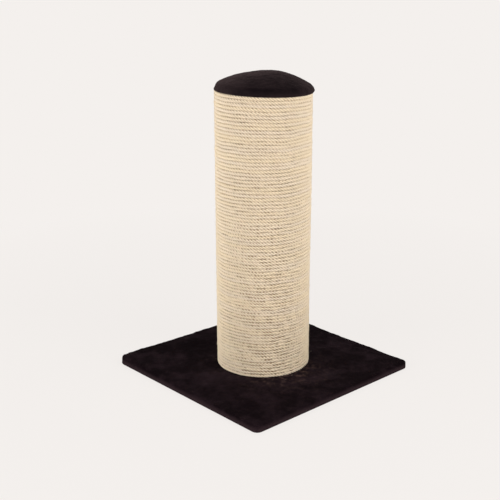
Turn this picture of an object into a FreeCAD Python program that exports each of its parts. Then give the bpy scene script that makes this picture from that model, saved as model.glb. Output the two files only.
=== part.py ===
import FreeCAD, Part
import math
import os

# A cat scratching post.
#
# A square foot board wrapped in plush carries an upright cardboard tube. Rope is wound round the
# tube from the foot to the top, and a domed cushion of board, foam and plush closes it. A wooden
# plug is stapled into each end of the tube. A bolt comes up through the foot into a drive-in nut in
# the bottom plug, and the cushion turns down on a stud into a drive-in nut in the top plug.
#
# The origin is on the floor, on the tube's axis, with +Z up and the foot's sides along X and Y.
# Lengths are in millimetres and angles in degrees unless a name says otherwise.

# Fits
seat_gap = 0.3              # between a soft piece or a plug and what it goes round or into
fastener_gap = 0.1          # round a bolt, nut or staple in its hole

# Foot
foot_side = 450.0           # over the plush
board_thickness = 12.0
board_corner_radius = 11.0
foot_edge_bevel = 3.0       # along the upper and lower edges of the board and of its plush
plush_thickness = 2.0       # backing and pile of both plush covers
foot_hem_width = 30.0       # of the plush folded in under the board
hem_edge_to_staple = 8.0    # from the cut edge of a hem to its row of staples

# Tube and rope
post_diameter = 200.0       # over the rope
rope_height = 590.0         # from the foot's plush up to the cushion
rope_diameter = 6.5
least_turn_gap = 0.43       # between one turn and the next
loops_at_each_end = 4       # turns that are modelled one by one, the others being a plain sleeve
rope_crest_share = 0.4      # flat crest of the rope's faceted section, of its diameter
rope_end_angle = 135.0      # where the rope starts and stops, round the tube from +X
tube_wall = 6.0
plug_thickness = 18.0
step_clearance = 0.3        # between a rope end and the sleeve's step that it meets
ramp_overcut = 1.0          # by which the cut of the sleeve's ramp runs out below its end

# Cushion
cushion_overhang = 2.0      # past the rope
cushion_height = 41.0
cushion_shoulder_radius = 18.0
cushion_rim_radius = 3.0    # where the plush turns in under the cushion
cushion_board_thickness = 9.0
foam_past_board = 8.0       # from the rim of the cushion's board out to the plush, filled by the foam
cushion_hem_width = 22.0    # of the plush folded in under the cushion's board
cushion_chords = 3          # rings of the shoulder and of the crown
foam_sides = 24             # flats round the foam, round its hollows and round the cover's inside

# Bolt, stud and drive-in nuts
bolt_diameter = 8.0
bolt_hole_diameter = 9.0
bolt_head_across_flats = 13.0
bolt_head_height = 5.3
bolt_floor_gap = 0.7        # between the bolt's head and the floor
bolt_recess_diameter = 22.0
bolt_past_nut = 1.0
stud_past_nut = 3.0
stud_in_board = 8.0         # its wood thread's hold in the cushion's board
nut_barrel_diameter = 10.0
nut_barrel_length = 8.0
nut_flange_across_flats = 18.0
nut_flange_thickness = 1.5

# Staples
staple_wire_width = 1.2
staple_wire_thickness = 0.6
staple_crown = 10.0
staple_bed = 0.3            # how far its crown lies below the face that it is driven into
hem_staple_leg = 7.0
hem_staples_per_side = 3
cushion_staple_count = 6
tube_staple_leg = 14.0
tube_staple_count = 3       # to each plug
rope_end_to_staple = 5.6    # from a rope end to the middle of the staple that holds it

# Heights
foot_height = board_thickness + 2 * plush_thickness
board_low = plush_thickness
board_high = board_low + board_thickness
bolt_recess_high = bolt_floor_gap + bolt_head_height
bottom_plug_high = foot_height + plug_thickness
post_top = foot_height + rope_height
post_middle = (foot_height + post_top) / 2
top_plug_low = post_top - plug_thickness
cushion_board_low = post_top + plush_thickness
cushion_board_high = cushion_board_low + cushion_board_thickness

# Radii and sides
board_side = foot_side - 2 * (plush_thickness + seat_gap)
foot_window_side = foot_side - 2 * foot_hem_width
tube_radius = post_diameter / 2 - rope_diameter - seat_gap
tube_bore_radius = tube_radius - tube_wall
plug_radius = tube_bore_radius - seat_gap
rope_line_radius = post_diameter / 2 - rope_diameter / 2
cushion_radius = post_diameter / 2 + cushion_overhang
cushion_board_radius = cushion_radius - plush_thickness - foam_past_board
cushion_window_radius = cushion_board_radius - cushion_hem_width

# Rope pitch: a whole number of turns, so that both ends lie at the same place round the tube
rope_rise = rope_height - 2 * seat_gap - rope_diameter
rope_turns = int(rope_rise / (rope_diameter + least_turn_gap))
rope_pitch = rope_rise / rope_turns
rope_start_height = foot_height + seat_gap + rope_diameter / 2

UP = FreeCAD.Vector(0, 0, 1)
CENTRE = FreeCAD.Vector(0, 0, 0)


def cylinder(radius, low, high):
    return Part.makeCylinder(radius, high - low, FreeCAD.Vector(0, 0, low), UP)


def box(x_size, y_size, low, high):
    """A box centred on the Z axis."""
    corner = FreeCAD.Vector(-x_size / 2, -y_size / 2, low)
    return Part.makeBox(x_size, y_size, high - low, corner)


def polygon(sides, radius, height):
    """A level regular outline round the Z axis, with its corners at the radius."""
    step = 2 * math.pi / sides
    corners = [FreeCAD.Vector(radius * math.cos(step * corner), radius * math.sin(step * corner), height)
               for corner in range(sides + 1)]
    return Part.makePolygon(corners)


def prism(sides, flat_radius, low, high):
    """An upright prism round the Z axis, with its flats at the radius."""
    outline = polygon(sides, flat_radius / math.cos(math.pi / sides), low)
    return Part.Face(outline).extrude(UP * (high - low))


def moved(shape, x, y, z):
    return shape.translated(FreeCAD.Vector(x, y, z))


def turned(shape, angle):
    """The shape turned round the Z axis."""
    return shape.rotated(CENTRE, UP, angle)


def flipped(shape):
    """The shape turned over about the X axis."""
    return shape.rotated(CENTRE, FreeCAD.Vector(1, 0, 0), 180)


def upside_down(shape):
    """The shape turned over about the level line through the post's middle and the rope's ends.

    A half turn keeps the hand of the winding, so it carries the bottom of the rope to its top.
    """
    pivot = FreeCAD.Vector(0, 0, post_middle)
    end_direction = math.radians(rope_end_angle)
    axis = FreeCAD.Vector(math.cos(end_direction), math.sin(end_direction), 0)
    return shape.rotated(pivot, axis, 180)


def both_ends(shapes):
    """The shapes at the post's lower end and again, turned over, at its upper end."""
    return shapes + [upside_down(shape) for shape in shapes]


def cut_all(shape, tools):
    """The one solid that is left when the tools are cut from a shape."""
    return shape.cut(Part.makeCompound(tools)).Solids[0]


def save(node, solids):
    shape = solids[0] if len(solids) == 1 else Part.makeCompound(solids)
    for solid in solids:
        if not (solid.isValid() and solid.isClosed()):
            print("faulty solid in", node)
    shape.exportStep(os.path.join("parts", node + ".step"))


# Staples and nuts --------------------------------------------------------------------------------

def staple(leg_length, margin=0.0):
    """A wire staple, its crown along X with the outer face at z = 0 and its legs up along Z.

    A margin makes the pocket that it fits in, with a mouth that is open past the crown.
    """
    leg_centre = (staple_crown - staple_wire_thickness) / 2
    mouth = staple_bed + margin if margin else 0
    width = staple_wire_width + 2 * margin
    crown = box(staple_crown + 2 * margin, width, -mouth, staple_wire_thickness)
    leg = box(staple_wire_thickness + 2 * margin, width, 0, leg_length + margin)
    shape = crown.fuse([moved(leg, -leg_centre, 0, 0), moved(leg, leg_centre, 0, 0)])
    return shape.removeSplitter().Solids[0]


def foot_hem_staples(margin=0.0):
    """The rows of staples that hold the foot's hem, along its four sides."""
    one = moved(staple(hem_staple_leg, margin), 0, 0, staple_bed)
    row_out = foot_window_side / 2 + hem_edge_to_staple
    spacing = foot_window_side / hem_staples_per_side
    shapes = []
    for side in range(4):
        for place in range(hem_staples_per_side):
            along = (place - (hem_staples_per_side - 1) / 2) * spacing
            shapes.append(turned(moved(one, along, -row_out, 0), 90 * side))
    return shapes


def cushion_hem_staples(margin=0.0):
    """The ring of staples that holds the hem under the cushion's board."""
    ring_radius = cushion_window_radius + hem_edge_to_staple
    one = moved(staple(hem_staple_leg, margin), 0, -ring_radius, post_top + staple_bed)
    return [turned(one, 360 * place / cushion_staple_count) for place in range(cushion_staple_count)]


def bottom_plug_staples(margin=0.0):
    """The staples driven through the tube's wall into the edge of the bottom plug.

    Their crowns stand upright on the tube, and the rope's end passes midway between two of them.
    """
    upright = staple(tube_staple_leg, margin).rotated(CENTRE, FreeCAD.Vector(0, 1, 0), -90)
    driven = moved(upright, tube_radius - staple_bed, 0, foot_height + plug_thickness / 2)
    step = 360 / tube_staple_count
    first = rope_end_angle + step / 2
    return [turned(driven, first + step * place) for place in range(tube_staple_count)]


def lower_rope_staple(margin=0.0):
    """The staple driven through the rope's lower end and the tube, its crown along the rope."""
    outward = FreeCAD.Vector(rope_point(0).x, rope_point(0).y, 0).normalize()
    lead = rope_direction(0)
    middle = rope_point(0) - lead * (rope_diameter - rope_end_to_staple)
    crown = middle + outward * (rope_diameter / 2 - staple_bed)
    turn = FreeCAD.Rotation(lead, CENTRE, outward * -1, "XZY")
    shape = staple(tube_staple_leg, margin)
    shape.Placement = FreeCAD.Placement(crown, turn)
    return shape


def drive_in_nut():
    """A nut with its hexagon flange on the wood at z = 0 and its barrel below, in the wood."""
    flange = prism(6, nut_flange_across_flats / 2, 0, nut_flange_thickness)
    barrel = cylinder(nut_barrel_diameter / 2, -nut_barrel_length, 0)
    bore = cylinder(bolt_diameter / 2 + fastener_gap, -nut_barrel_length, nut_flange_thickness)
    return flange.fuse(barrel).cut(bore).Solids[0]


def nut_holes():
    """What a drive-in nut and its bolt take out of the wood under the flange, at z = 0."""
    barrel = cylinder(nut_barrel_diameter / 2 + fastener_gap, -nut_barrel_length - fastener_gap, 0)
    bolt = cylinder(bolt_hole_diameter / 2, -plug_thickness, 0)
    return barrel.fuse(bolt)


def bottom_plug_nut():
    return moved(drive_in_nut(), 0, 0, bottom_plug_high)


# Foot --------------------------------------------------------------------------------------------

def square_plate(side, corner_radius, low, high):
    plate = box(side, side, low, high)
    uprights = [edge for edge in plate.Edges if abs(edge.tangentAt(edge.FirstParameter).z) > 0.5]
    return plate.makeFillet(corner_radius, uprights)


def rims(plate):
    """The edges round a plate's upper and lower faces."""
    return [edge for edge in plate.Edges if edge.BoundBox.ZLength < edge.Length / 2]


def board_form(margin):
    """The foot's board with its edges bevelled, grown sideways by a margin."""
    plate = square_plate(board_side + 2 * margin, board_corner_radius + margin, board_low, board_high)
    return plate.makeChamfer(foot_edge_bevel, rims(plate))


def base_board():
    hole = cylinder(bolt_hole_diameter / 2, board_low, board_high)
    recess = cylinder(bolt_recess_diameter / 2, board_low, bolt_recess_high)
    return cut_all(board_form(0), [hole.fuse(recess)] + foot_hem_staples(fastener_gap))


def base_plush_cover():
    """Plush pulled over the board, down its sides and in under it as a stapled hem."""
    corner_radius = board_corner_radius + seat_gap + plush_thickness
    plate = square_plate(foot_side, corner_radius, 0, foot_height)
    plate = plate.makeChamfer(foot_edge_bevel, rims(plate))
    window = box(foot_window_side, foot_window_side, 0, board_high)
    bolt_hole = cylinder(bolt_hole_diameter / 2, board_low, foot_height)
    return cut_all(plate, [board_form(seat_gap), window, bolt_hole] + foot_hem_staples(fastener_gap))


def base_bolt():
    """A hexagon-headed bolt, sunk in the board, that reaches through the bottom plug's nut."""
    tip = bottom_plug_high + nut_flange_thickness + bolt_past_nut
    head = prism(6, bolt_head_across_flats / 2, bolt_floor_gap, bolt_recess_high)
    return head.fuse(cylinder(bolt_diameter / 2, bolt_recess_high, tip)).Solids[0]


# Tube and plugs ----------------------------------------------------------------------------------

def bottom_plug():
    plug = cylinder(plug_radius, foot_height, bottom_plug_high)
    holes = [moved(nut_holes(), 0, 0, bottom_plug_high), lower_rope_staple(fastener_gap)]
    return cut_all(plug, holes + bottom_plug_staples(fastener_gap))


def post_tube():
    tube = cylinder(tube_radius, foot_height, post_top)
    bore = cylinder(tube_bore_radius, foot_height, post_top)
    low_pockets = [lower_rope_staple(fastener_gap)] + bottom_plug_staples(fastener_gap)
    high_pockets = [upside_down(shape) for shape in low_pockets]
    return cut_all(tube, [bore] + low_pockets + high_pockets)


# Rope --------------------------------------------------------------------------------------------

def rope_point(turns):
    """The rope's centre line so many turns above its lower end."""
    angle = math.radians(rope_end_angle) + 2 * math.pi * turns
    return FreeCAD.Vector(rope_line_radius * math.cos(angle),
                          rope_line_radius * math.sin(angle),
                          rope_start_height + rope_pitch * turns)


def rope_direction(turns):
    angle = math.radians(rope_end_angle) + 2 * math.pi * turns
    direction = FreeCAD.Vector(-math.sin(angle), math.cos(angle),
                               rope_pitch / (2 * math.pi * rope_line_radius))
    return direction.normalize()


def arc_leaving(start, direction, end):
    """The arc that leaves its start in a direction and ends at a point."""
    chord = end - start
    inward = (chord - direction * chord.dot(direction)).normalize()
    radius = chord.dot(chord) / (2 * chord.dot(inward))
    centre = start + inward * radius
    crown = centre + ((start + end) / 2 - centre).normalize() * radius
    return Part.Arc(start, crown, end).toShape()


def biarc(start, start_direction, end, end_direction):
    """Two arcs that meet smoothly and keep the directions at both ends.

    Each end's tangent is followed for the same reach to a handle, and the arcs meet halfway
    between the handles. The handles lie twice the reach apart, which has the arcs share a
    tangent where they meet.
    """
    chord = end - start
    across = chord.dot(start_direction + end_direction)
    spread = 2 * (1 - start_direction.dot(end_direction))
    reach = (math.sqrt(across ** 2 + spread * chord.dot(chord)) - across) / spread
    meeting = (start + start_direction * reach + end - end_direction * reach) / 2
    return [arc_leaving(start, start_direction, meeting),
            arc_leaving(end, end_direction * -1, meeting)]


def straight(start, direction, length):
    return Part.LineSegment(start, start + direction * length).toShape()


def rope_path(first, last):
    """The rope's centre line between two counts of turns, in biarcs of up to half a turn."""
    pieces = math.ceil(2 * (last - first))
    counts = [first + (last - first) * piece / pieces for piece in range(pieces + 1)]
    edges = []
    for start, end in zip(counts, counts[1:]):
        edges += biarc(rope_point(start), rope_direction(start), rope_point(end), rope_direction(end))
    return edges


def swept(edges, start, direction, outline):
    """A tube along a path, its section's points given outward and upward from the path."""
    outward = FreeCAD.Vector(start.x, start.y, 0).normalize()
    upward = outward.cross(direction)
    points = [start + outward * out + upward * up for out, up in outline]
    section = Part.makePolygon(points + [points[0]])
    return Part.Wire(edges).makePipeShell([section], True, False)


def lower_turns():
    """The rope's lowest turns, one tube with a straight run of a diameter at each end.

    Its faceted section is flat where it lies on the tube and tapers to a narrower crest.
    """
    half = rope_diameter / 2
    crest = half * rope_crest_share
    outline = [(-half, -half), (half, -crest), (half, crest), (-half, half)]
    first_direction = rope_direction(0)
    start = rope_point(0) - first_direction * rope_diameter
    end = rope_point(loops_at_each_end)
    edges = [straight(start, first_direction, rope_diameter)]
    edges += rope_path(0, loops_at_each_end)
    edges += [straight(end, rope_direction(loops_at_each_end), rope_diameter)]
    turns = swept(edges, start, first_direction, outline)
    return cut_all(turns, [lower_rope_staple(fastener_gap)])


def sleeve_ramps():
    """What the last of the lower turns takes out of the sleeve's end, in two half turns.

    It is a ramp of one turn, up to a step that stands square to the rope's end run.
    """
    run = rope_diameter + step_clearance
    high = rope_diameter / 2 + least_turn_gap
    low = high - rope_pitch - ramp_overcut
    outline = [(-rope_diameter, low), (rope_diameter, low), (rope_diameter, high), (-rope_diameter, high)]
    last = loops_at_each_end
    middle = last - 0.5
    first = last - 1 + run / (2 * math.pi * rope_line_radius)
    step_run = straight(rope_point(last), rope_direction(last), run)
    return [swept(rope_path(first, middle), rope_point(first), rope_direction(first), outline),
            swept(rope_path(middle, last) + [step_run], rope_point(middle), rope_direction(middle), outline)]


def middle_turns():
    """A plain sleeve in place of the rope's other turns, with a step for each rope end."""
    low = rope_point(loops_at_each_end - 1).z + rope_diameter / 2 + least_turn_gap
    high = 2 * post_middle - low
    sleeve = cylinder(post_diameter / 2, low, high)
    sleeve = sleeve.cut(cylinder(tube_radius + seat_gap, low, high))
    for ramp in both_ends(sleeve_ramps()):
        sleeve = sleeve.cut(ramp)
    return sleeve.Solids[0]


def sisal_rope():
    lower = lower_turns()
    return [lower, middle_turns(), upside_down(lower)]


def least_rope_gap():
    """The least gap between the modelled turns, on points along their centre line."""
    points_per_turn = 48
    count = loops_at_each_end * points_per_turn
    points = [rope_point(place / points_per_turn) for place in range(count + 1)]
    half_turn = points_per_turn // 2
    distances = [(points[later] - points[earlier]).Length
                 for earlier in range(count + 1)
                 for later in range(earlier + half_turn, count + 1)]
    return min(distances) - rope_diameter


# Cushion -----------------------------------------------------------------------------------------

def dome_outline(inset):
    """The cushion's half outline from its underside to its top, drawn in by an inset.

    A rim turned in at the bottom, a shoulder and a crown. The rim and shoulder arcs meet at the
    widest height, and the crown's arc is the one that touches the shoulder and passes through
    the top. Each point is a radius and a height.
    """
    widest = post_top + cushion_rim_radius
    rim_out = cushion_radius - cushion_rim_radius
    shoulder_out = cushion_radius - cushion_shoulder_radius
    shoulder_radius = cushion_shoulder_radius - inset
    rise = cushion_height - cushion_rim_radius - cushion_shoulder_radius
    centre_drop = (shoulder_out ** 2 - rise ** 2) / (2 * rise)
    crown_radius = centre_drop + rise + shoulder_radius
    meeting_angle = math.atan2(centre_drop, shoulder_out)
    shoulder_step = meeting_angle / cushion_chords
    crown_step = (math.pi / 2 - meeting_angle) / cushion_chords
    points = [(rim_out, post_top + inset)]
    for place in range(cushion_chords + 1):
        angle = shoulder_step * place
        points.append((shoulder_out + shoulder_radius * math.cos(angle),
                       widest + shoulder_radius * math.sin(angle)))
    for place in range(1, cushion_chords + 1):
        angle = meeting_angle + crown_step * place
        points.append((crown_radius * math.cos(angle),
                       widest - centre_drop + crown_radius * math.sin(angle)))
    return points


def round_dome():
    """The cushion's outside, a ring of cone to each chord of its outline."""
    outline = dome_outline(0)
    low = outline[0][1]
    points = [(0, low)] + outline + [(0, low)]
    corners = [FreeCAD.Vector(out, 0, height) for out, height in points]
    return Part.Face(Part.makePolygon(corners)).revolve(CENTRE, UP, 360)


def faceted_dome(inset):
    """The cushion's form inside its plush, in flats and with a flat top."""
    rings = []
    for out, height in dome_outline(inset)[:-1]:
        rings.append([vertex.Point for vertex in polygon(foam_sides, out, height).Vertexes])
    faces = [polygon_face(rings[0]), polygon_face(rings[-1])]
    for lower, upper in zip(rings, rings[1:]):
        for side in range(foam_sides):
            after = (side + 1) % foam_sides
            faces.append(polygon_face([lower[side], lower[after], upper[after], upper[side]]))
    shell = Part.Shell(faces)
    shell.sewShape()
    solid = Part.Solid(shell)
    solid.fix(0.001, 0.001, 0.001)
    return solid


def polygon_face(corners):
    return Part.Face(Part.makePolygon(corners + [corners[0]]))


def cap_plush_cover():
    """Plush pulled over the foam and in under the cushion's board as a stapled hem."""
    window = prism(foam_sides, cushion_window_radius, post_top, cushion_board_low)
    tools = [faceted_dome(plush_thickness), window] + cushion_hem_staples(fastener_gap)
    return cut_all(round_dome(), tools)


def cap_foam():
    """Foam over the cushion's board and round its edge."""
    board_room = prism(foam_sides, cushion_board_radius + seat_gap, post_top, cushion_board_high)
    return cut_all(faceted_dome(plush_thickness + seat_gap), [board_room])


def stud_high():
    return cushion_board_low + stud_in_board


def cap_board():
    board = cylinder(cushion_board_radius, cushion_board_low, cushion_board_high)
    stud_hole = cylinder(bolt_diameter / 2 + fastener_gap, post_top, stud_high() + fastener_gap)
    return cut_all(board, [stud_hole] + cushion_hem_staples(fastener_gap))


def cap_stud():
    """A stud that screws into the cushion's board above and the top plug's nut below."""
    low = top_plug_low - nut_flange_thickness - stud_past_nut
    return cylinder(bolt_diameter / 2, low, stud_high())


os.makedirs("parts", exist_ok=True)
save("base_board", [base_board()])
save("base_plush_cover", [base_plush_cover()])
save("base_hem_staples", foot_hem_staples())
save("base_bolt", [base_bolt()])
save("drive_in_nuts", both_ends([bottom_plug_nut()]))
save("tube_plugs", both_ends([bottom_plug()]))
save("tube_plug_staples", both_ends(bottom_plug_staples()))
save("post_tube", [post_tube()])
save("sisal_rope", sisal_rope())
save("rope_end_staples", both_ends([lower_rope_staple()]))
save("cap_stud", [cap_stud()])
save("cap_board", [cap_board()])
save("cap_foam", [cap_foam()])
save("cap_plush_cover", [cap_plush_cover()])
save("cap_hem_staples", cushion_hem_staples())
print("turns of rope", rope_turns, "at a pitch of", round(rope_pitch, 3))
print("least gap between turns", round(least_rope_gap(), 3))
print("whole height", post_top + cushion_height)
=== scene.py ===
import math

import bpy
import numpy as np
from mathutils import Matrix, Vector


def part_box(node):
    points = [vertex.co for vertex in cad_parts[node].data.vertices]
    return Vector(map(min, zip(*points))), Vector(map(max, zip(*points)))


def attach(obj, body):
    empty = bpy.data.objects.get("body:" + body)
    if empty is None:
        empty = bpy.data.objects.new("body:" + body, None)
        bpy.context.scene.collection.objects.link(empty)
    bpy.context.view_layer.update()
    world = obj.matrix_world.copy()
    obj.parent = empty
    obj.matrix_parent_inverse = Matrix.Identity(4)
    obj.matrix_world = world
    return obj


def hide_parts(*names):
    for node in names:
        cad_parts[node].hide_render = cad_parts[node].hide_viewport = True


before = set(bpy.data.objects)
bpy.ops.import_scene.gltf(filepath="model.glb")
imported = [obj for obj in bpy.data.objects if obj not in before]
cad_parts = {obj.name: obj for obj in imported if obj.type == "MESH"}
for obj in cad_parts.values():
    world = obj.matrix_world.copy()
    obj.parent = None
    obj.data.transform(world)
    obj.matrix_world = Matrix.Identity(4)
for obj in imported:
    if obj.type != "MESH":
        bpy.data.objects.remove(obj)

# The looks of a cat scratching post: twisted sisal wound round the post, a plush-covered foot and a
# domed plush cushion. Lengths are in metres and places in the frame's own axes: the origin on the
# floor under the post's axis, +Z up.

MM = 0.001
TURN = 2 * math.pi
UP = np.array([0.0, 0.0, 1.0])


def levels_and_half(node):
    """The lowest and the highest level of a frame node, and half its width."""
    low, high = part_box(node)
    return low.z, high.z, high.x


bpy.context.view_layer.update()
rope_low, rope_high, post_radius = levels_and_half("sisal_rope")
foot_low, foot_high, foot_half = levels_and_half("base_plush_cover")
cushion_low, cushion_high, cushion_radius = levels_and_half("cap_plush_cover")
board_low, board_high, board_radius = levels_and_half("cap_board")
foot_board_low, foot_board_high, _ = levels_and_half("base_board")

# The camera, as fitted to the photograph's outlines of the post, foot and cushion
camera_azimuth = math.radians(47.12)
camera_pitch = math.radians(15.37)
camera_distance = 1.9423
camera_height = 0.8663
focal_pixels = 952.9
frame_pixels = 500
centre_right_pixels = 13.03
centre_up_pixels = 29.87
camera_right = np.array([math.cos(camera_azimuth), math.sin(camera_azimuth), 0.0])
camera_front = np.array([math.sin(camera_azimuth), -math.cos(camera_azimuth), 0.0])


# Places and meshes

def ramp(value, start, end):
    """0 up to the start, 1 from the end on, and straight between them."""
    return np.clip((value - start) / (end - start), 0, 1)


def unit(vectors):
    return vectors / np.linalg.norm(vectors, axis=-1)[..., None]


def angles(count):
    """Even angles once round."""
    return TURN * np.arange(count) / count


def outwards(angle):
    """Level unit vectors away from the post's axis at the given angles."""
    return np.stack([np.cos(angle), np.sin(angle), np.zeros_like(angle)], -1)


def soft_noise(points, wavelength, seed, waves=28):
    """Smooth noise of about unit size: a sum of sine waves of random direction, length and phase.

    Each wave is sin(k . p + phase), with the size of k between 0.6 and 1.7 times 2 pi over the
    wavelength."""
    random = np.random.default_rng(seed)
    points = points.reshape(len(points), -1)
    direction = random.normal(size=(points.shape[1], waves))
    direction /= np.linalg.norm(direction, axis=0)
    direction *= TURN / wavelength * random.uniform(0.6, 1.7, waves)
    phase = random.uniform(0, TURN, waves)
    total = np.zeros(len(points))
    for wave in range(waves):
        total += np.sin(points @ direction[:, wave] + phase[wave])
    return total * math.sqrt(2 / waves)


def mixed_noise(points, noises):
    """A sum of soft noises, each given as its size, its wavelength and its seed."""
    return sum(size * soft_noise(points, wavelength, seed) for size, wavelength, seed in noises)


def grid_quads(rows, columns, round_columns=True):
    """Quads of a grid of points kept row by row, the last column joined to the first if round."""
    across = columns if round_columns else columns - 1
    row, column = np.meshgrid(np.arange(rows - 1), np.arange(across), indexing="ij")
    beside = (column + 1) % columns
    quads = np.stack([row * columns + column, row * columns + beside,
                      (row + 1) * columns + beside, (row + 1) * columns + column], -1)
    return quads.reshape(-1, 4)


def fan(ring, centre, inwards=False):
    """Triangles from a ring of points to one more point."""
    beside = np.roll(ring, -1)
    ends = (beside, ring) if inwards else (ring, beside)
    return np.stack([ends[0], ends[1], np.full(len(ring), centre)], -1)


def make_piece(name, points, faces, material, smooth=True, attributes=None):
    """A mesh object at the origin from points and a list of face arrays, with point attributes."""
    mesh = bpy.data.meshes.new(name)
    sizes = np.concatenate([np.full(len(group), group.shape[1]) for group in faces])
    corners = np.concatenate([group.ravel() for group in faces]).astype(np.int32)
    mesh.vertices.add(len(points))
    mesh.vertices.foreach_set("co", points.astype(np.float32).ravel())
    mesh.loops.add(len(corners))
    mesh.loops.foreach_set("vertex_index", corners)
    mesh.polygons.add(len(sizes))
    starts = np.concatenate([[0], np.cumsum(sizes)[:-1]]).astype(np.int32)
    mesh.polygons.foreach_set("loop_start", starts)
    mesh.update(calc_edges=True)
    mesh.polygons.foreach_set("use_smooth", np.full(len(sizes), smooth))
    for label, values in (attributes or {}).items():
        kind, key = ("FLOAT_VECTOR", "vector") if values.ndim == 2 else ("FLOAT", "value")
        layer = mesh.attributes.new(label, kind, "POINT")
        layer.data.foreach_set(key, values.astype(np.float32).ravel())
    mesh.validate()
    mesh.materials.append(material)
    piece = bpy.data.objects.new(name, mesh)
    bpy.context.scene.collection.objects.link(piece)
    return piece


# Shader nodes

def put_in(tree, node, inputs):
    """Fills a node's inputs: a socket is linked, and a value is set on the input itself."""
    for key, value in inputs.items():
        if isinstance(value, bpy.types.NodeSocket):
            tree.links.new(value, node.inputs[key])
        else:
            node.inputs[key].default_value = value


def add_node(tree, kind, inputs=None, **settings):
    node = tree.nodes.new(kind)
    for key, value in settings.items():
        setattr(node, key, value)
    put_in(tree, node, inputs or {})
    return node


def new_material(name):
    material = bpy.data.materials.new(name)
    material.use_nodes = True
    tree = material.node_tree
    return material, tree, tree.nodes["Principled BSDF"]


def new_group(name, numbers, outputs):
    """A shader node group that takes a place and named numbers, and gives named numbers.

    Returns its tree, the sockets that hold what it is given, and its output node."""
    tree = bpy.data.node_groups.new(name, "ShaderNodeTree")
    tree.interface.new_socket("Place", in_out="INPUT", socket_type="NodeSocketVector")
    for label, default in numbers.items():
        socket = tree.interface.new_socket(label, in_out="INPUT", socket_type="NodeSocketFloat")
        socket.default_value = default
    for label in outputs:
        tree.interface.new_socket(label, in_out="OUTPUT", socket_type="NodeSocketFloat")
    return tree, tree.nodes.new("NodeGroupInput").outputs, tree.nodes.new("NodeGroupOutput")


def use_group(tree, group, **inputs):
    return add_node(tree, "ShaderNodeGroup", inputs, node_tree=group).outputs


def maths(tree, operation, first, second=0.0, clamp=False):
    return add_node(tree, "ShaderNodeMath", {0: first, 1: second},
                    operation=operation, use_clamp=clamp).outputs[0]


def blended(tree, share, first, second, blend_type="MIX"):
    """A colour between two by a share. The node's colours are its inputs 6 and 7."""
    return add_node(tree, "ShaderNodeMix", {0: share, 6: first, 7: second},
                    data_type="RGBA", blend_type=blend_type).outputs[2]


def ranged(tree, value, start, end, to_start=0.0, to_end=1.0):
    """A value's range from start to end drawn out to another, and held at its ends."""
    return add_node(tree, "ShaderNodeMapRange",
                    {0: value, 1: start, 2: end, 3: to_start, 4: to_end}).outputs[0]


def noise_value(tree, where, scale, detail=2.0, roughness=0.5):
    return add_node(tree, "ShaderNodeTexNoise", {"Vector": where, "Scale": scale, "Detail": detail,
                                                 "Roughness": roughness}).outputs[0]


def stretched(tree, where, scale, push=(0.0, 0.0, 0.0)):
    """A place times a scale, moved by a push."""
    return add_node(tree, "ShaderNodeVectorMath", {0: where, 1: scale, 2: push},
                    operation="MULTIPLY_ADD").outputs[0]


def vector_of(tree, x=0.0, y=0.0, z=0.0):
    return add_node(tree, "ShaderNodeCombineXYZ", {0: x, 1: y, 2: z}).outputs[0]


def bumped(tree, height, strength, distance):
    return add_node(tree, "ShaderNodeBump",
                    {"Height": height, "Strength": strength, "Distance": distance}).outputs[0]


def object_place(tree):
    return tree.nodes.new("ShaderNodeTexCoord").outputs["Object"]


def point_value(tree, label, output="Fac"):
    """A mesh's point attribute."""
    return add_node(tree, "ShaderNodeAttribute", attribute_name=label).outputs[output]


def linear(red, green, blue):
    """A colour of the screen, 0 to 255 a channel, as the linear colour that shaders take."""
    def channel(value):
        value /= 255
        return value / 12.92 if value <= 0.04045 else ((value + 0.055) / 1.055) ** 2.4
    return (channel(red), channel(green), channel(blue), 1.0)


# Shared effects

def fibre_group():
    """Fine streaks along the first axis of a place, as fibres show, with broad stains in them."""
    tree, given, result = new_group(
        "fibre streaks", {"Along": 60.0, "Across": 2600.0}, ["Streaks", "Stains"])
    size = vector_of(tree, given["Along"], given["Across"], given["Across"])
    fine = stretched(tree, given["Place"], size)
    put_in(tree, result, {
        "Streaks": noise_value(tree, fine, 1.0, detail=3.0, roughness=0.6),
        "Stains": noise_value(tree, given["Place"], 55.0, detail=3.0, roughness=0.6)})
    return tree


def nap_group():
    """Brushed nap: broad patches where the pile leans another way, and the pile's own speckle.

    The patches' places drift sideways with a broader noise."""
    tree, given, result = new_group(
        "brushed nap", {"Patch": 22.0, "Speckle": 900.0}, ["Patches", "Pile"])
    drift = noise_value(tree, given["Place"], 30.0)
    push = vector_of(tree, maths(tree, "MULTIPLY", drift, 0.03),
                     maths(tree, "MULTIPLY", drift, -0.04))
    bent = stretched(tree, given["Place"], (1.0, 1.0, 1.6), push)
    patches = noise_value(tree, bent, given["Patch"], detail=5.0, roughness=0.62)
    put_in(tree, result, {
        "Patches": ranged(tree, patches, 0.42, 0.72),
        "Pile": noise_value(tree, given["Place"], given["Speckle"], detail=3.0, roughness=0.7)})
    return tree


def chip_group():
    """Pressed wood chips: flat cells of differing tone with a fine grain in them."""
    tree, given, result = new_group("wood chips", {"Chip": 260.0}, ["Tone", "Grain"])
    drift = noise_value(tree, given["Place"], 90.0)
    push = vector_of(tree, maths(tree, "MULTIPLY", drift, 0.012))
    cells = add_node(tree, "ShaderNodeTexVoronoi", {
        "Vector": stretched(tree, given["Place"], (1.0, 0.45, 2.2), push), "Scale": given["Chip"]})
    tone = add_node(tree, "ShaderNodeSeparateColor", {0: cells.outputs["Color"]})
    put_in(tree, result, {
        "Tone": tone.outputs[0],
        "Grain": noise_value(tree, given["Place"], 1500.0, detail=4.0, roughness=0.7)})
    return tree


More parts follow.
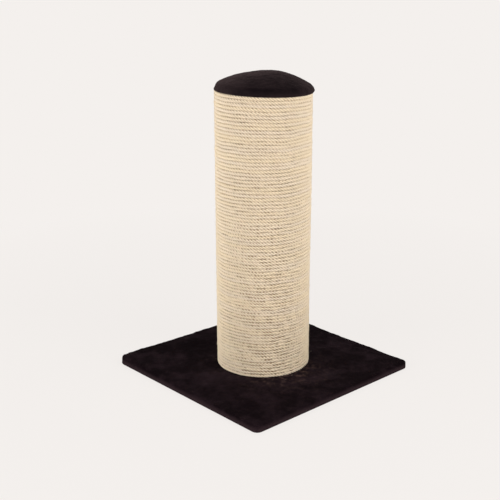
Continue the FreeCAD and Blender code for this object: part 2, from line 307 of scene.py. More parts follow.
def zinc_group():
    """Zinc plating or wire: drawn scratches and cloudy patches."""
    tree, given, result = new_group("zinc bloom", {"Fineness": 500.0}, ["Clouds", "Scratches"])
    drawn = stretched(tree, given["Place"], (900.0, 900.0, 9000.0))
    put_in(tree, result, {
        "Clouds": noise_value(tree, given["Place"], given["Fineness"], detail=4.0, roughness=0.6),
        "Scratches": noise_value(tree, drawn, 1.0)})
    return tree


fibres, nap, chips, bloom = fibre_group(), nap_group(), chip_group(), zinc_group()


# Materials

def sisal_material():
    """Natural sisal: cream fibres streaked along the strand, with painted shade in the valleys.

    The point attribute "lay" holds the length along the rope and the place across it, "valley" is
    0 on a strand's crest and up to 1 where strands or turns meet, and is painted shade there;
    "tint" draws the cream from yellow at -1.5 to grey at 1.5."""
    material, tree, surface = new_material("sisal_rope_fibre")
    streaks = use_group(tree, fibres, Place=point_value(tree, "lay", "Vector"))
    pale = blended(tree, ranged(tree, streaks["Streaks"], 0.3, 0.7),
                   linear(220, 202, 174), linear(248, 235, 212))
    tint = blended(tree, ranged(tree, point_value(tree, "tint"), -1.5, 1.5),
                   (1.0, 0.975, 0.93, 1), (0.975, 0.965, 0.985, 1))
    toned = blended(tree, 1.0, pale, tint, blend_type="MULTIPLY")
    stained = blended(tree, ranged(tree, streaks["Stains"], 0.58, 0.8, 0.0, 0.35),
                      toned, linear(178, 150, 112))
    put_in(tree, surface, {
        # Painted shade: brown (122, 84, 50) in the seams between strands and the grooves between
        # turns, as much as the point attribute gives.
        "Base Color": blended(tree, point_value(tree, "valley_shade"), stained, linear(122, 84, 50)),
        "Roughness": ranged(tree, streaks["Streaks"], 0.2, 0.8, 0.92, 0.72),
        "Normal": bumped(tree, streaks["Streaks"], 0.5, 0.25 * MM),
        "Specular IOR Level": 0.25,
        "Sheen Weight": 0.6, "Sheen Roughness": 0.5, "Sheen Tint": linear(236, 218, 190)})
    return material


def plush_material(name, deep, lit, rim, patch, sheen, gloss):
    """Short-pile plush, almost black brown, with its nap brushed this way and that in patches.

    Its tones are the deep one, the lit one of the patches and the rim's, which is painted sheen.
    The point attribute "parted" is 1 where that painted sheen is whole, and "dusty" is 1 where
    the rope's dust lies on it."""
    material, tree, surface = new_material(name)
    pile = use_group(tree, nap, Place=object_place(tree), Patch=patch)
    tuft = ranged(tree, pile["Pile"], 0.3, 0.7, 0.45, 1.0)
    patched = blended(tree, maths(tree, "MULTIPLY", pile["Patches"], tuft), deep, lit)
    # Painted sheen: the paler rim tone, as much as the point attribute gives.
    tone = blended(tree, maths(tree, "MULTIPLY", point_value(tree, "painted_sheen"), tuft), patched, rim)
    specks = noise_value(tree, object_place(tree), 70.0, detail=6.0, roughness=0.72)
    dust = maths(tree, "MULTIPLY", point_value(tree, "dusty"), ranged(tree, specks, 0.48, 0.68),
                 clamp=True)
    put_in(tree, surface, {
        "Base Color": blended(tree, dust, tone, linear(96, 76, 70)),
        "Roughness": ranged(tree, pile["Patches"], 0.0, 1.0, 0.95, 0.8),
        "Normal": bumped(tree, pile["Pile"], 0.8, 0.6 * MM),
        "Specular IOR Level": gloss,
        "Sheen Weight": sheen, "Sheen Roughness": 0.4, "Sheen Tint": linear(140, 116, 116)})
    return material


def board_material():
    """Raw particle board: pressed chips from straw to brown."""
    material, tree, surface = new_material("particle_board")
    chip = use_group(tree, chips, Place=object_place(tree))
    tone = blended(tree, chip["Tone"], linear(168, 128, 84), linear(222, 190, 142))
    grain = blended(tree, ranged(tree, chip["Grain"], 0.35, 0.7), tone, linear(140, 100, 62))
    put_in(tree, surface, {
        "Base Color": blended(tree, 0.35, tone, grain),
        "Roughness": ranged(tree, chip["Grain"], 0.2, 0.8, 0.9, 0.7),
        "Normal": bumped(tree, chip["Grain"], 0.5, 0.4 * MM)})
    return material


def zinc_material(name, colour, fineness):
    """Zinc, clouded with a tone 0.72 times as bright as its colour."""
    material, tree, surface = new_material(name)
    face = use_group(tree, bloom, Place=object_place(tree), Fineness=fineness)
    dull = tuple(0.72 * channel for channel in colour[:3]) + (1.0,)
    put_in(tree, surface, {
        "Base Color": blended(tree, ranged(tree, face["Clouds"], 0.3, 0.7), colour, dull),
        "Roughness": ranged(tree, face["Scratches"], 0.2, 0.8, 0.28, 0.5),
        "Normal": bumped(tree, face["Scratches"], 0.2, 0.05 * MM),
        "Metallic": 1.0})
    return material


def cardboard_material(ply_pitch=0.11, join_sharpness=90.0):
    """A wound paper tube: grey-brown pulp with the spiral joins of its plies.

    A join shows by |cos(s / 2)| to the power of its sharpness, s being the angle round the tube
    plus a full turn to each ply pitch of height."""
    material, tree, surface = new_material("tube_cardboard")
    place = object_place(tree)
    streaks = use_group(tree, fibres, Place=place, Along=400.0, Across=500.0)
    x, y, z = add_node(tree, "ShaderNodeSeparateXYZ", {0: place}).outputs
    spiral = maths(tree, "ADD", maths(tree, "MULTIPLY", z, TURN / ply_pitch),
                   maths(tree, "ARCTAN2", y, x))
    crest = maths(tree, "ABSOLUTE", maths(tree, "COSINE", maths(tree, "MULTIPLY", spiral, 0.5)))
    join = maths(tree, "MULTIPLY", maths(tree, "POWER", crest, join_sharpness), 0.5)
    pulp = blended(tree, streaks["Streaks"], linear(150, 122, 92), linear(196, 168, 132))
    put_in(tree, surface, {
        "Base Color": blended(tree, join, pulp, linear(96, 74, 52)),
        "Roughness": ranged(tree, streaks["Stains"], 0.3, 0.7, 0.85, 0.95)})
    return material


sisal = sisal_material()
# The rim tones are painted sheen, paler than the plush's own tones.
cap_plush = plush_material(
    "cushion_plush", deep=linear(12, 6, 9), lit=linear(34, 24, 26), rim=linear(46, 36, 37),
    patch=26.0, sheen=0.26, gloss=0.05)
foot_plush = plush_material(
    "foot_plush", deep=linear(16, 9, 12), lit=linear(43, 31, 36), rim=linear(50, 38, 41),
    patch=20.0, sheen=0.012, gloss=0.02)
particle_board = board_material()
staple_wire = zinc_material("staple_wire", linear(186, 186, 188), 900.0)
zinc_plating = zinc_material("zinc_plating", linear(200, 200, 196), 500.0)
tube_cardboard = cardboard_material()


# The rope. In a line of noises, each is its size, its wavelength and its seed.

rope_turns = 84
rope_radius = 3.25 * MM
rope_start_angle = math.radians(135)
rope_pitch_drift = 0.04         # the turns' pitch at the top over the mean, under it at the foot
climb_share = 0.22              # of each turn, behind the post, in which it climbs to the next
turn_overlap = 1.12             # the turns' width along the post over their pitch, at the top
foot_overlap = 0.95             # of that overlap at the foot
side_press = 0.38               # more of it away from the side that faces the photo's camera
top_tilt = 3.4 * MM             # by which the top turn is lower on the camera's right
tilt_levels = 0.75, 1           # where that begins and where it is whole
top_slack = 1.6 * MM            # by which the upper turns stand off on the camera's right
slack_levels = 0.35, 0.65       # where that begins and where it is whole
dent_depth = 1.4 * MM           # of the one dent that the rope's front shows low on the left
dent_radius = 7 * MM
dent_place = camera_right * -33 * MM + camera_front * 94 * MM + UP * 198 * MM
strand_count = 3
strand_lay = 20.5 * MM          # the length in which a strand goes once round the rope
strand_out = 1.7 * MM           # from the rope's middle to a strand's
strand_radius = 1.58 * MM
steps_to_a_lay = 12
points_to_a_strand = 6
turns_to_a_piece = 14

girth_noises = (0.02, 0.05, 3), (0.018, 0.9, 4)
girth_growth = 0.03             # the rope's girth at the top over the mean, under it at the foot
seat_noises = (0.16 * MM, 0.045, 5), (0.12 * MM, 0.5, 6)
settled_noises = (0.5 * MM, 0.11, 11),
wander_noises = (0.22 * MM, 0.05, 7),
settled_end, wander_end = 1 / 12, 1 / 40     # the share of the rope at each end that has less
twist_noises = (0.12, 0.4, 8),
strand_noise = 0.045, 0.012, 20
tint_noises = (1, 2.2, 9), (0.6, 0.25, 10)
tint_at_foot = -1.3             # more yellow there
# Painted shade: the seams between strands and the grooves between turns are drawn brown, more
# towards the foot, in the dent and on the side towards the camera.
seam_shade = 0.5                # how much painted shade the seams between strands have in front
groove_seam = 0.8               # the share of a groove's painted shade that only its seams have
groove_shade_mean, groove_shade_most = 0.65, 1.6
groove_shade_place_noise = 0.6, 0.016, 12
groove_shade_length_noise = 0.4, 0.009, 13
groove_shade_at_top, groove_shade_at_foot = 0.95, 1.9
groove_shade_behind = 0.15              # of the grooves' painted shade, away from the camera
groove_shade_in_dent = 1.5
groove_edge, groove_floor = 1.9 / 2.4, 0.375     # |cos| of the place round the rope
fibre_twist = 0.75              # of a strand's turns round the rope, those of its fibres

loose_count = 1500
loose_root = 0.6 * MM           # how deep they start in the rope
loose_radius = 0.05 * MM, 0.1 * MM
loose_taper = 0.75
loose_least = 2 * MM            # of their length, to which a gamma draw is added
loose_gamma = 3.0, 2.0 * MM     # its shape and its scale
loose_lean = 0.12, 0.55         # outwards for each length along the rope
loose_rise = 0, 0.35            # upwards for that, its mean and spread
loose_bend_up = 0, 0.25         # of the parabola for each length, its mean and spread
loose_bend_out = 0.02, 0.2


def rope_course():
    """The rope's length, angle and level at each step along it, and the share of it passed there.

    Each turn lies level in front and climbs behind. The level is the number of climbs passed over
    all climbs, each eased by x * x * (3 - 2 * x). The climbs lie just before the rope's lower end
    and drift to just after its upper one, so that both ends lie flat against foot and cushion."""
    length = TURN * (post_radius - rope_radius) * rope_turns
    t = np.linspace(0, 1, int(length / strand_lay * steps_to_a_lay) + 1)
    climbs = rope_turns - 1
    apart = (climbs - 1 + climb_share) / (climbs - 1)
    passed = (rope_turns * t - 1 + climb_share) / apart
    begun = np.clip(np.floor(passed), 0, climbs - 1)
    eased = ramp(passed - begun, 0, climb_share / apart)
    level = (begun + eased ** 2 * (3 - 2 * eased)) / climbs
    return t * length, rope_start_angle + TURN * rope_turns * t, level, t


def rope_surface():
    """The wound rope's surface as rows of points, one row to each step along it, its middle line,
    and the point attributes of its material.

    The rope's height is low + rise * (l + drift * (l * l - l)), l being its level. Its upper turns
    tilt and stand off towards the camera's right. Noise over the post has them settle higher or
    lower, with a finer wander along the rope, and a dent presses them in by
    depth * exp(-(d / radius) ** 2) at a distance d from its middle.

    The section is the outline of three round strands: at an angle a from a strand's middle it lies
    at out * cos(a) + sqrt(strand ** 2 - (out * sin(a)) ** 2). The section turns once in a lay, as
    a right-hand screw does, and is drawn out along the post to the turns' overlap. That is at its
    least on the side that faces the photo's camera, where the grooves are deepest. Noise along
    the rope varies its girth, each strand's girth, its lay and its seat."""
    along, angle, level, t = rope_course()
    to_right = np.cos(angle - camera_azimuth)
    facing = np.clip(np.cos(angle - camera_azimuth + math.pi / 2), 0, 1) ** 2
    rise = rope_high - rope_low - 2 * rope_radius
    height = rope_low + rope_radius + rise * (level + rope_pitch_drift * (level ** 2 - level))
    height -= top_tilt * to_right * ramp(level, *tilt_levels)
    wall = outwards(angle) * post_radius
    wall[:, 2] = height
    height += mixed_noise(wall, settled_noises) * ramp(np.minimum(t, 1 - t), 0, settled_end)
    height += mixed_noise(along, wander_noises) * ramp(np.minimum(t, 1 - t), 0, wander_end)
    dent = np.exp(-((wall - dent_place) ** 2).sum(1) / dent_radius ** 2)
    seat = mixed_noise(along, seat_noises) - dent_depth * dent
    seat += top_slack * ramp(level, *slack_levels) * (0.5 + 0.5 * to_right)
    middle = outwards(angle) * (post_radius - rope_radius + seat)[:, None]
    middle[:, 2] = height

    strand_share = TURN / strand_count
    section = angles(strand_count * points_to_a_strand)
    strand = np.floor((section + strand_share / 2) / strand_share) % strand_count
    lobe = (section + strand_share / 2) % strand_share - strand_share / 2
    reach = (strand_out * np.cos(lobe)
             + np.sqrt(strand_radius ** 2 - (strand_out * np.sin(lobe)) ** 2))
    girth = 1 + mixed_noise(along, girth_noises)
    girth *= 1 + girth_growth * (2 * t - 1)
    reach = reach[None, :] * girth[:, None]
    uneven, wavelength, seed = strand_noise
    for number in range(strand_count):
        own = 1 + uneven * soft_noise(along, wavelength, seed + number)
        reach[:, strand == number] *= own[:, None]
    twist = TURN * (along / strand_lay + mixed_noise(along, twist_noises))
    swing = section[None, :] + twist[:, None]
    pitch = rise / (rope_turns - 1) * (1 + rope_pitch_drift * (2 * level - 1))
    overlap = (turn_overlap * (foot_overlap + (1 - foot_overlap) * level)
               * (1 + side_press * (1 - facing) ** 2))
    squash = overlap * pitch / (2 * (strand_out + strand_radius))
    points = (middle[:, None, :] + (reach * np.cos(swing))[..., None] * outwards(angle)[:, None, :]
              - (squash[:, None] * reach * np.sin(swing))[..., None] * UP)

    # Painted shade in the seams and grooves, kept as a point attribute for the material.
    valley_shade = rope_valley_shade(along, level, facing, wall, dent, lobe, swing)
    fibre_turn = section[None, :] + fibre_twist * twist[:, None]
    lay = np.stack([along[:, None] * np.ones(len(section)), rope_radius * np.cos(fibre_turn),
                    rope_radius * np.sin(fibre_turn)], -1)
    tint = mixed_noise(along, tint_noises) + tint_at_foot * (1 - level) ** 2
    tint = tint[:, None] * np.ones(len(section))
    return points, middle, {"lay": lay, "valley_shade": valley_shade, "tint": tint}


def rope_valley_shade(along, level, facing, wall, dent, lobe, swing):
    """How much painted shade each point of the rope's surface has, from 0 to 1.

    The seams between strands are shaded by the cube of the angle from the strand's middle, on the
    side that faces the camera. The grooves between turns are shaded by an amount that noise
    varies, which is more towards the foot and in the dent and less away from the camera."""
    seam = (np.abs(lobe) / (math.pi / strand_count)) ** 3
    groove = ramp(np.abs(np.cos(swing)), groove_edge, groove_floor)
    groove_shade = groove_shade_mean + mixed_noise(wall, [groove_shade_place_noise])
    groove_shade = np.clip(groove_shade + mixed_noise(along, [groove_shade_length_noise]), 0, groove_shade_most)
    groove_shade *= groove_shade_at_top + groove_shade_at_foot * (1 - level) ** 2
    groove_shade = groove_shade * (groove_shade_behind + (1 - groove_shade_behind) * facing) + groove_shade_in_dent * dent
    return np.clip(seam_shade * facing[:, None] * seam
                   + groove * (1 - groove_seam + groove_seam * seam) * groove_shade[:, None], 0, 1)


def wind_rope():
    """The rope in pieces of whole turns that meet behind the post, each closed by its end faces."""
    points, middle, shades = rope_surface()
    rows, count = points.shape[:2]
    cuts = np.linspace(0, rows - 1, rope_turns // turns_to_a_piece + 1).astype(int)
    made = []
    for number, (start, end) in enumerate(zip(cuts[:-1], cuts[1:]), 1):
        surface = points[start:end + 1].reshape(-1, 3)
        first, last, size = np.arange(count), np.arange(count) + (end - start) * count, len(surface)
        faces = [grid_quads(end - start + 1, count), fan(first, size, inwards=True),
                 fan(last, size + 1)]
        attributes = {}
        for label, values in shades.items():
            flat = values[start:end + 1].reshape((size,) + values.shape[2:])
            attributes[label] = np.concatenate([flat, flat[:1], flat[-1:]])
        made.append(make_piece(
            "rope_turns_%d" % number, np.concatenate([surface, middle[[start, end]]]), faces, sisal,
            attributes=attributes))
    return made


def stray_fibres(count=loose_count, steps=6, sides=3):
    """Short loose fibres that stand off the rope.

    Each is a tapered three-sided tube along a parabola: it leaves the rope's surface along the
    rope, one way or the other, and outwards, and bends with the square of its length."""
    random = np.random.default_rng(41)
    turn = random.uniform(0.5, rope_turns - 0.5, count)
    out = outwards(rope_start_angle + TURN * turn)
    forward = np.cross(UP, out) * random.choice([-1.0, 1.0], count)[:, None]
    root = out * (post_radius - loose_root)
    root[:, 2] = np.interp(turn / rope_turns, [0, 1], [rope_low, rope_high])
    lean = random.uniform(*loose_lean, count)[:, None]
    rise = random.normal(*loose_rise, count)[:, None]
    length = random.gamma(*loose_gamma, count)[:, None, None] + loose_least
    heading = unit(forward + lean * out + rise * UP)
    share = np.linspace(0, 1, steps)
    bend = random.normal(*loose_bend_up, (count, 1)) * UP
    bend = bend + random.normal(*loose_bend_out, (count, 1)) * out
    path = root[:, None] + length * (share[:, None] * heading[:, None]
                                     + share[:, None] ** 2 * bend[:, None])
    radius = random.uniform(*loose_radius, count)[:, None] * (1 - loose_taper * share)
    across = unit(np.cross(heading, out))
    third = np.cross(heading, across)
    corner = angles(sides)[:, None]
    points = path[:, :, None] + radius[:, :, None, None] * (
        np.cos(corner) * across[:, None, None] + np.sin(corner) * third[:, None, None])
    flat = points.reshape(-1, 3)
    start = np.arange(count)[:, None] * sides * steps
    quads = (grid_quads(steps, sides)[None] + start[:, None]).reshape(-1, 4)
    near = start + np.arange(sides)[::-1]
    far = start + sides * (steps - 1) + np.arange(sides)
    along = np.repeat(turn * TURN * post_radius, sides * steps)
    lay = np.stack([along, flat[:, 2], flat[:, 0]], -1)
    none = np.zeros(len(flat))
    return make_piece("rope_stray_fibres", flat, [quads, near, far], sisal,
                      attributes={"lay": lay, "valley_shade": none, "tint": none})


for piece in wind_rope() + [stray_fibres()]:
    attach(piece, "root")
    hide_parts("sisal_rope")


# The cushion

shoulder_radius = 18 * MM
rim_radius = 3 * MM
hem_width_under_cushion = 22 * MM
board_gap = 0.2 * MM            # from the cushion's board to the pocket round it
stud_radius = 4 * MM
crown_lean = 6.0 * MM           # how far the top of the crown leans towards the camera's right
crown_puff = 2.8 * MM           # by which its filling stands higher there and lower on the left
cushion_shift = 3.1 * MM        # of the whole dome towards the camera's right
shoulder_drop = 2.8 * MM        # by which the dome is more pointed than its plain outline
pile_noises = (0.2 * MM, 0.06, 51), (0.12 * MM, 0.014, 52), (0.08 * MM, 0.0042, 53)
gather_noises = (0.35 * MM, 0.16, 54),
gather_height = 14 * MM         # of the folds above the rim, where the plush is pulled under
swell_centre = cushion_low - 60 * MM
# Painted sheen: how far out the flank on the camera's left is drawn paler, and how much painted
# sheen the folds above the rim and that flank get.
sheen_from, sheen_to = 0.35, 0.75        # of the radius, on the camera's left
sheen_on_folds, sheen_on_left = 0.5, 0.8
around_cushion = 360


def cushion_outline():
    """The cushion's half outline from its top over the crown, shoulder and rim, in along the
    underside, up round the edge of the board's pocket and in to the stud, and the number of its
    points as far as the rim.

    The shoulder's arc has its centre a shoulder radius inside the widest place. The crown's arc
    has its centre on the axis, a drop d below the shoulder's centre, where
    d = (a * a - r * r) / (2 * r), a being the shoulder centre's radius and r the crown's rise."""
    def arc(out, height, radius, angle):
        return np.stack([out + radius * np.cos(angle), height + radius * np.sin(angle)], -1)

    def level(start, end, height, steps):
        return np.stack([np.linspace(start, end, steps), np.full(steps, height)], -1)

    shoulder_out = cushion_radius - shoulder_radius
    widest = cushion_low + rim_radius
    rise = cushion_high - widest - shoulder_radius
    drop = (shoulder_out ** 2 - rise ** 2) / (2 * rise)
    meeting = math.atan2(drop, shoulder_out)
    outside = np.concatenate([
        arc(0, widest - drop, drop + rise + shoulder_radius,
            np.linspace(math.pi / 2, meeting, 60)[1:]),
        arc(shoulder_out, widest, shoulder_radius, np.linspace(meeting, 0, 24)[1:]),
        arc(cushion_radius - rim_radius, widest, rim_radius, np.linspace(0, -math.pi / 2, 7)[1:])])
    window = board_radius - hem_width_under_cushion
    pocket = board_radius + board_gap
    inside = [level(cushion_radius - rim_radius, window, cushion_low, 16)[1:],
              level(window, pocket, board_low, 12), level(pocket, stud_radius, board_high, 10)]
    return np.concatenate([outside] + inside), len(outside)


def make_cushion():
    """The plush-covered dome: the outline turned round the axis, leaned and softened.

    The crown is moved towards the camera's right by its lean times (1 - q * q) squared, q being
    the distance from the axis over the cushion's radius. The dome sinks by its drop times q * q,
    rises by its puff times the place across the view times (1 - q * q), and its shoulder, rim
    and hem tilt with the rope's top turn. Broad and fine noise soften the pile, out from the
    swell's centre, and folds gather above the rim."""
    outline, outside = cushion_outline()
    rows = len(outline)
    angle = angles(around_cushion)
    points = outline[:, None, :1] * outwards(angle)[None]
    points[..., 2] = outline[:, None, 1]
    outer = (np.arange(rows) < outside)[:, None] * np.ones(around_cushion)
    q = np.hypot(points[..., 0], points[..., 1]) / cushion_radius
    above = ramp(points[..., 2], cushion_low, cushion_high) * outer
    points += camera_right * (crown_lean * above * (1 - q * q) ** 2)[..., None]
    points[..., 2] -= shoulder_drop * q ** 2 * above ** 0.5
    across = points @ camera_right / cushion_radius
    points[..., 2] += crown_puff * across * (1 - q * q) * above
    hem_tilt = ramp(q * cushion_radius - board_radius, 1.5 * MM, 6.5 * MM)
    points[..., 2] -= top_tilt * across * np.where(outer > 0, ramp(q, 0, 0.6), hem_tilt)
    points += camera_right * (cushion_shift * ramp(above, 0, 1 / 8))[..., None]

    flat, outer = points.reshape(-1, 3), outer.ravel()
    away = unit(flat - UP * swell_centre)
    gather = ramp(flat[:, 2] - cushion_low, gather_height, 0)
    round_post = outwards(np.arctan2(flat[:, 1], flat[:, 0]))[:, :2]
    swell = mixed_noise(flat, pile_noises) + gather * mixed_noise(round_post, gather_noises)
    flat = flat + away * (swell * outer)[:, None]
    top = camera_right * (crown_lean + cushion_shift) + UP * cushion_high
    size = len(flat)
    first = np.arange(around_cushion)
    last = first + (rows - 1) * around_cushion
    faces = [grid_quads(rows, around_cushion)[:, ::-1], fan(first, size),
             fan(last, size + 1, inwards=True)]
    # Painted sheen in the rim tone on the flank on the camera's left and on the folds above the
    # rim.
    brushed = ramp(-across.ravel(), sheen_from, sheen_to)
    painted_sheen = np.maximum(sheen_on_folds * gather, sheen_on_left * brushed) * outer
    return make_piece("cushion", np.concatenate([flat, [top], [UP * board_high]]), faces, cap_plush,
                      attributes={"painted_sheen": np.concatenate([painted_sheen, [0, 0]])})


cushion = make_cushion()
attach(cushion, "root")
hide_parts("cap_plush_cover", "cap_foam")


# The foot's plush

plush_thickness = foot_board_low - foot_low
foot_edge_radius = 5.5 * MM
foot_lower_radius = 3.0 * MM
foot_corner_radius = 14 * MM
hem_width = 30 * MM
inner_gap = 0.1 * MM            # from the foot's board to the cover's inside
foot_grid = 221
nap_noises = (0.3 * MM, 0.085, 61), (0.22 * MM, 0.02, 62), (0.14 * MM, 0.006, 63)
corner_puff = 4.4 * MM          # by which the cover stands higher over the foot's left corner
puff_reach = 260 * MM           # from that corner to where it lies flat
dusty_side = outwards(camera_azimuth - math.radians(58))
dust_reach = 30 * MM            # from the post to where the dust is 1 / e as thick
dust_all_round = 0.1
rim_low, rim_high = 7 * MM, 14 * MM          # heights between which the rim's painted sheen fades out
flat_round_post, puff_round_post = 12 * MM, 40 * MM     # how far from it nap and puff lie flat


def rounded_square(s, t, half, corner):
    """Places on a square grid with its corners drawn into arcs.

    Where both s and t pass the corner arc's centre, the place that lies d beyond it in the
    greater of the two directions goes to the distance d from the centre, on the same ray."""
    x, y = s * half, t * half
    inner = half - corner
    dx, dy = np.abs(x) - inner, np.abs(y) - inner
    corners = (dx > 0) & (dy > 0)
    reach = np.maximum(dx, dy)
    span = np.where(corners, np.hypot(dx, dy), 1.0)
    x = np.where(corners, np.sign(x) * (inner + dx * reach / span), x)
    y = np.where(corners, np.sign(y) * (inner + dy * reach / span), y)
    return x, y


def ring_indices(side):
    """The outline of a side by side grid, counter-clockwise from its first corner."""
    first = np.arange(side - 1)
    return np.concatenate([first, (first + 1) * side - 1, side * side - 1 - first,
                           side * (side - 1) - first * side])


def foot_profile():
    """How far out from the top's outline each ring of the foot's edge lies, and at what height:
    two quarter arcs with a ring between them."""
    upper = np.linspace(0, math.pi / 2, 9)[1:]
    lower = np.linspace(0, math.pi / 2, 6)
    return np.concatenate([
        np.stack([foot_edge_radius * np.sin(upper),
                  foot_high - foot_edge_radius * (1 - np.cos(upper))], -1),
        [[foot_edge_radius, (foot_high + foot_low) / 2 - 1 * MM]],
        np.stack([foot_edge_radius - foot_lower_radius * (1 - np.cos(lower)),
                  foot_low + foot_lower_radius * (1 - np.sin(lower))], -1)])


def soften_nap(outside, sideways):
    """Moves the cover's outside by broad and fine noise, up on its top and sideways on its edge.

    It lies flat under the post, and stands higher by its puff times 1 - d / reach at a distance d
    from the foot's left corner."""
    from_post = np.hypot(outside[:, 0], outside[:, 1]) - post_radius
    swell = mixed_noise(outside, nap_noises) * ramp(from_post, 0, flat_round_post)
    fade = ramp(outside[:, 2], foot_low, foot_low + 4 * MM)
    upwards = ramp(outside[:, 2], foot_high - foot_edge_radius, foot_high)
    outside[:, :2] += sideways * (swell * fade)[:, None]
    outside[:, 2] += swell * upwards
    puffed = ramp(np.hypot(*(outside[:, :2] + foot_half).T), puff_reach, 0)
    puffed *= ramp(outside[:, 2], foot_low, foot_high) * ramp(from_post, 0, puff_round_post)
    outside[:, 2] += corner_puff * puffed
    outside[np.hypot(outside[:, 0], outside[:, 1]) < post_radius - 1 * MM, 2] = foot_high


def make_foot_plush():
    """The plush over the foot: a grid for the top, then rings round the edge and in under the
    board, then rings back inside to a point over the board's middle.

    The edge's rings are the top's outline set out along its own normals by the foot's profile.
    The hem's rings blend that outline into the square edge of the hem."""
    steps = np.linspace(-1, 1, foot_grid)
    s, t = np.meshgrid(steps, steps)
    flat_half = foot_half - foot_edge_radius
    inner = foot_half - foot_corner_radius
    x, y = rounded_square(s, t, flat_half, foot_corner_radius - foot_edge_radius)
    top = np.stack([x, y, np.full_like(x, foot_high)], -1).reshape(-1, 3)
    outline = ring_indices(foot_grid)
    edge = top[outline, :2]
    normal = unit(edge - np.clip(edge, -inner, inner))
    count = len(edge)

    def ring(offset, height):
        return np.concatenate([edge + normal * offset, np.full((count, 1), height)], 1)

    profile = foot_profile()
    around_edge = [ring(offset, height) for offset, height in profile]
    square = np.stack([s, t], -1).reshape(-1, 2)[outline] * (foot_half - hem_width)
    window = np.concatenate([square, np.zeros((count, 1))], 1)
    hem = [around_edge[-1] * (1 - share) + window * share for share in np.linspace(0, 1, 9)[1:]]
    inner_out = foot_edge_radius - plush_thickness + inner_gap
    roof = ring(inner_out, foot_board_high + inner_gap)
    inside = [window + UP * (plush_thickness - 0.02 * MM), ring(inner_out, foot_board_low), roof]
    inside += [roof * (share, share, 1) for share in (0.66, 0.33)]

    outside = np.concatenate([top] + around_edge)
    sideways = [normal * offset / foot_edge_radius for offset in profile[:, 0]]
    soften_nap(outside, np.concatenate([np.zeros((len(top), 2))] + sideways))
    points = np.concatenate([outside] + hem + inside + [[UP * (foot_board_high + inner_gap)]])

    rings = len(around_edge + hem + inside)
    first = len(top) + np.arange(count)
    last = first + (rings - 1) * count
    faces = [grid_quads(foot_grid, foot_grid, round_columns=False),
             np.stack([outline, first, np.roll(first, -1), np.roll(outline, -1)], -1),
             grid_quads(rings, count)[:, ::-1] + len(top),
             fan(last, len(points) - 1, inwards=True)]
    # Painted sheen: the foot's rounded edge, below the rim's heights, takes the paler rim tone.
    at_edge = ramp((np.abs(points[:, :2]).max(1) - foot_half) / foot_edge_radius, -1.3, -0.3)
    away = np.hypot(points[:, 0], points[:, 1])
    facing = np.clip(points @ dusty_side / np.maximum(away, post_radius), 0, 1)
    dusty = np.exp(-np.clip(away - post_radius, 0, None) / dust_reach)
    dusty *= dust_all_round + facing ** 3
    return make_piece("foot_plush", points, faces, foot_plush,
                      attributes={"painted_sheen": at_edge * ramp(points[:, 2], rim_high, rim_low),
                                  "dusty": dusty})


foot_cover = make_foot_plush()
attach(foot_cover, "root")
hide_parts("base_plush_cover")


# The parts kept from the frame

finishes = [
    (particle_board, ["base_board", "tube_plugs", "cap_board"]),
    (staple_wire, ["base_hem_staples", "tube_plug_staples", "rope_end_staples", "cap_hem_staples"]),
    (zinc_plating, ["base_bolt", "drive_in_nuts", "cap_stud"]),
    (tube_cardboard, ["post_tube"]),
]
for material, nodes in finishes:
    for node in nodes:
        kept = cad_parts[node]
        kept.data.materials.clear()
        kept.data.materials.append(material)


# Floor, light and camera

background = linear(244, 240, 237)


def seen_plainly(tree):
    """1 for the rays that are to see the plain background: the camera's and gloss."""
    path = tree.nodes.new("ShaderNodeLightPath").outputs
    return maths(tree, "MAXIMUM", path["Is Camera Ray"],
                 maths(tree, "MAXIMUM", path["Is Glossy Ray"], path["Is Transmission Ray"]))


def either(tree, share, first, second):
    """A mix of two shaders by a share."""
    return add_node(tree, "ShaderNodeMixShader",
                    {0: share, 1: first.outputs[0], 2: second.outputs[0]})


def floor_material():
    """Pale paper. To the camera and to gloss it shows the plain background, with a tenth of the
    lamps' light on it near the object, so that the object's shadow stays, fading to none from
    0.4 to 1.4 m away. It shows nothing from below."""
    material, tree, surface = new_material("pale_floor")
    put_in(tree, surface, {"Base Color": background, "Roughness": 1.0, "Specular IOR Level": 0.0})
    glow = add_node(tree, "ShaderNodeEmission", {"Color": background, "Strength": 1.0})
    away = add_node(tree, "ShaderNodeVectorMath", {0: object_place(tree)}, operation="LENGTH")
    plain = ranged(tree, away.outputs["Value"], 0.4, 1.4, 0.9, 1.0)
    paper = either(tree, maths(tree, "MULTIPLY", seen_plainly(tree), plain), surface, glow)
    below = tree.nodes.new("ShaderNodeNewGeometry").outputs["Backfacing"]
    whole = either(tree, below, paper, tree.nodes.new("ShaderNodeBsdfTransparent"))
    put_in(tree, tree.nodes["Material Output"], {"Surface": whole.outputs[0]})
    return material


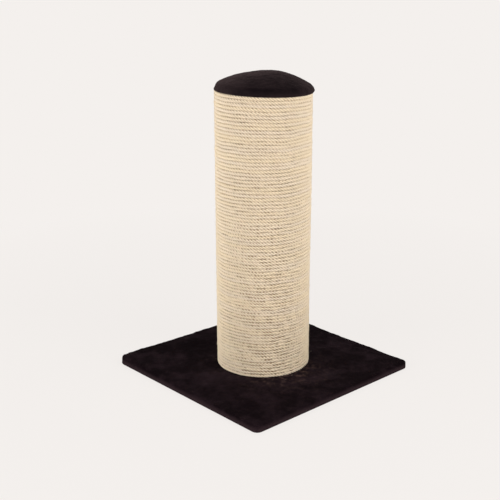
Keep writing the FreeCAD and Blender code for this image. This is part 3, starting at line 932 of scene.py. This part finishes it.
def make_floor(half=30.0):
    level = -0.05 * MM
    corners = np.array([[-half, -half, level], [half, -half, level],
                        [half, half, level], [-half, half, level]])
    floor = make_piece("floor", corners, [np.array([[0, 1, 2, 3]])], floor_material(), smooth=False)


def make_world():
    """Even soft light from all round, and the plain background to the camera and to gloss."""
    world = bpy.data.worlds.new("studio")
    world.use_nodes = True
    tree = world.node_tree
    tree.nodes.clear()
    light = add_node(tree, "ShaderNodeBackground", {"Color": (1, 1, 1, 1), "Strength": 0.43})
    shown = add_node(tree, "ShaderNodeBackground", {"Color": background, "Strength": 1.0})
    both = either(tree, seen_plainly(tree), light, shown)
    add_node(tree, "ShaderNodeOutputWorld", {"Surface": both.outputs[0]})
    bpy.context.scene.world = world


def add_lamp(name, azimuth, elevation, size, watts, distance=2.4):
    """A square softbox that faces the post's middle. Its azimuth counts from the camera's."""
    aim = UP * 0.3
    around, up = camera_azimuth + math.radians(azimuth), math.radians(elevation)
    away = np.array([math.sin(around) * math.cos(up), -math.cos(around) * math.cos(up),
                     math.sin(up)])
    data = bpy.data.lights.new(name, "AREA")
    data.shape, data.size, data.energy = "SQUARE", size, watts
    lamp = bpy.data.objects.new(name, data)
    lamp.location = aim + away * distance
    lamp.rotation_euler = Vector(-away).to_track_quat("-Z", "Y").to_euler()
    bpy.context.scene.collection.objects.link(lamp)


def make_camera():
    data = bpy.data.cameras.new("camera")
    data.sensor_width = 36.0
    data.lens = focal_pixels / frame_pixels * data.sensor_width
    data.shift_x = -centre_right_pixels / frame_pixels
    data.shift_y = -centre_up_pixels / frame_pixels
    data.clip_end = 100.0
    camera = bpy.data.objects.new("camera", data)
    camera.location = camera_front * camera_distance + UP * camera_height
    camera.rotation_euler = (math.pi / 2 - camera_pitch, 0, camera_azimuth)
    bpy.context.scene.collection.objects.link(camera)
    bpy.context.scene.camera = camera


make_floor()
make_world()
add_lamp("left_softbox", azimuth=-50, elevation=12, size=1.5, watts=34)
add_lamp("right_softbox", azimuth=50, elevation=20, size=1.5, watts=33)
add_lamp("top_softbox", azimuth=0, elevation=75, size=1.6, watts=3)
make_camera()
bpy.context.scene.view_settings.view_transform = "Standard"
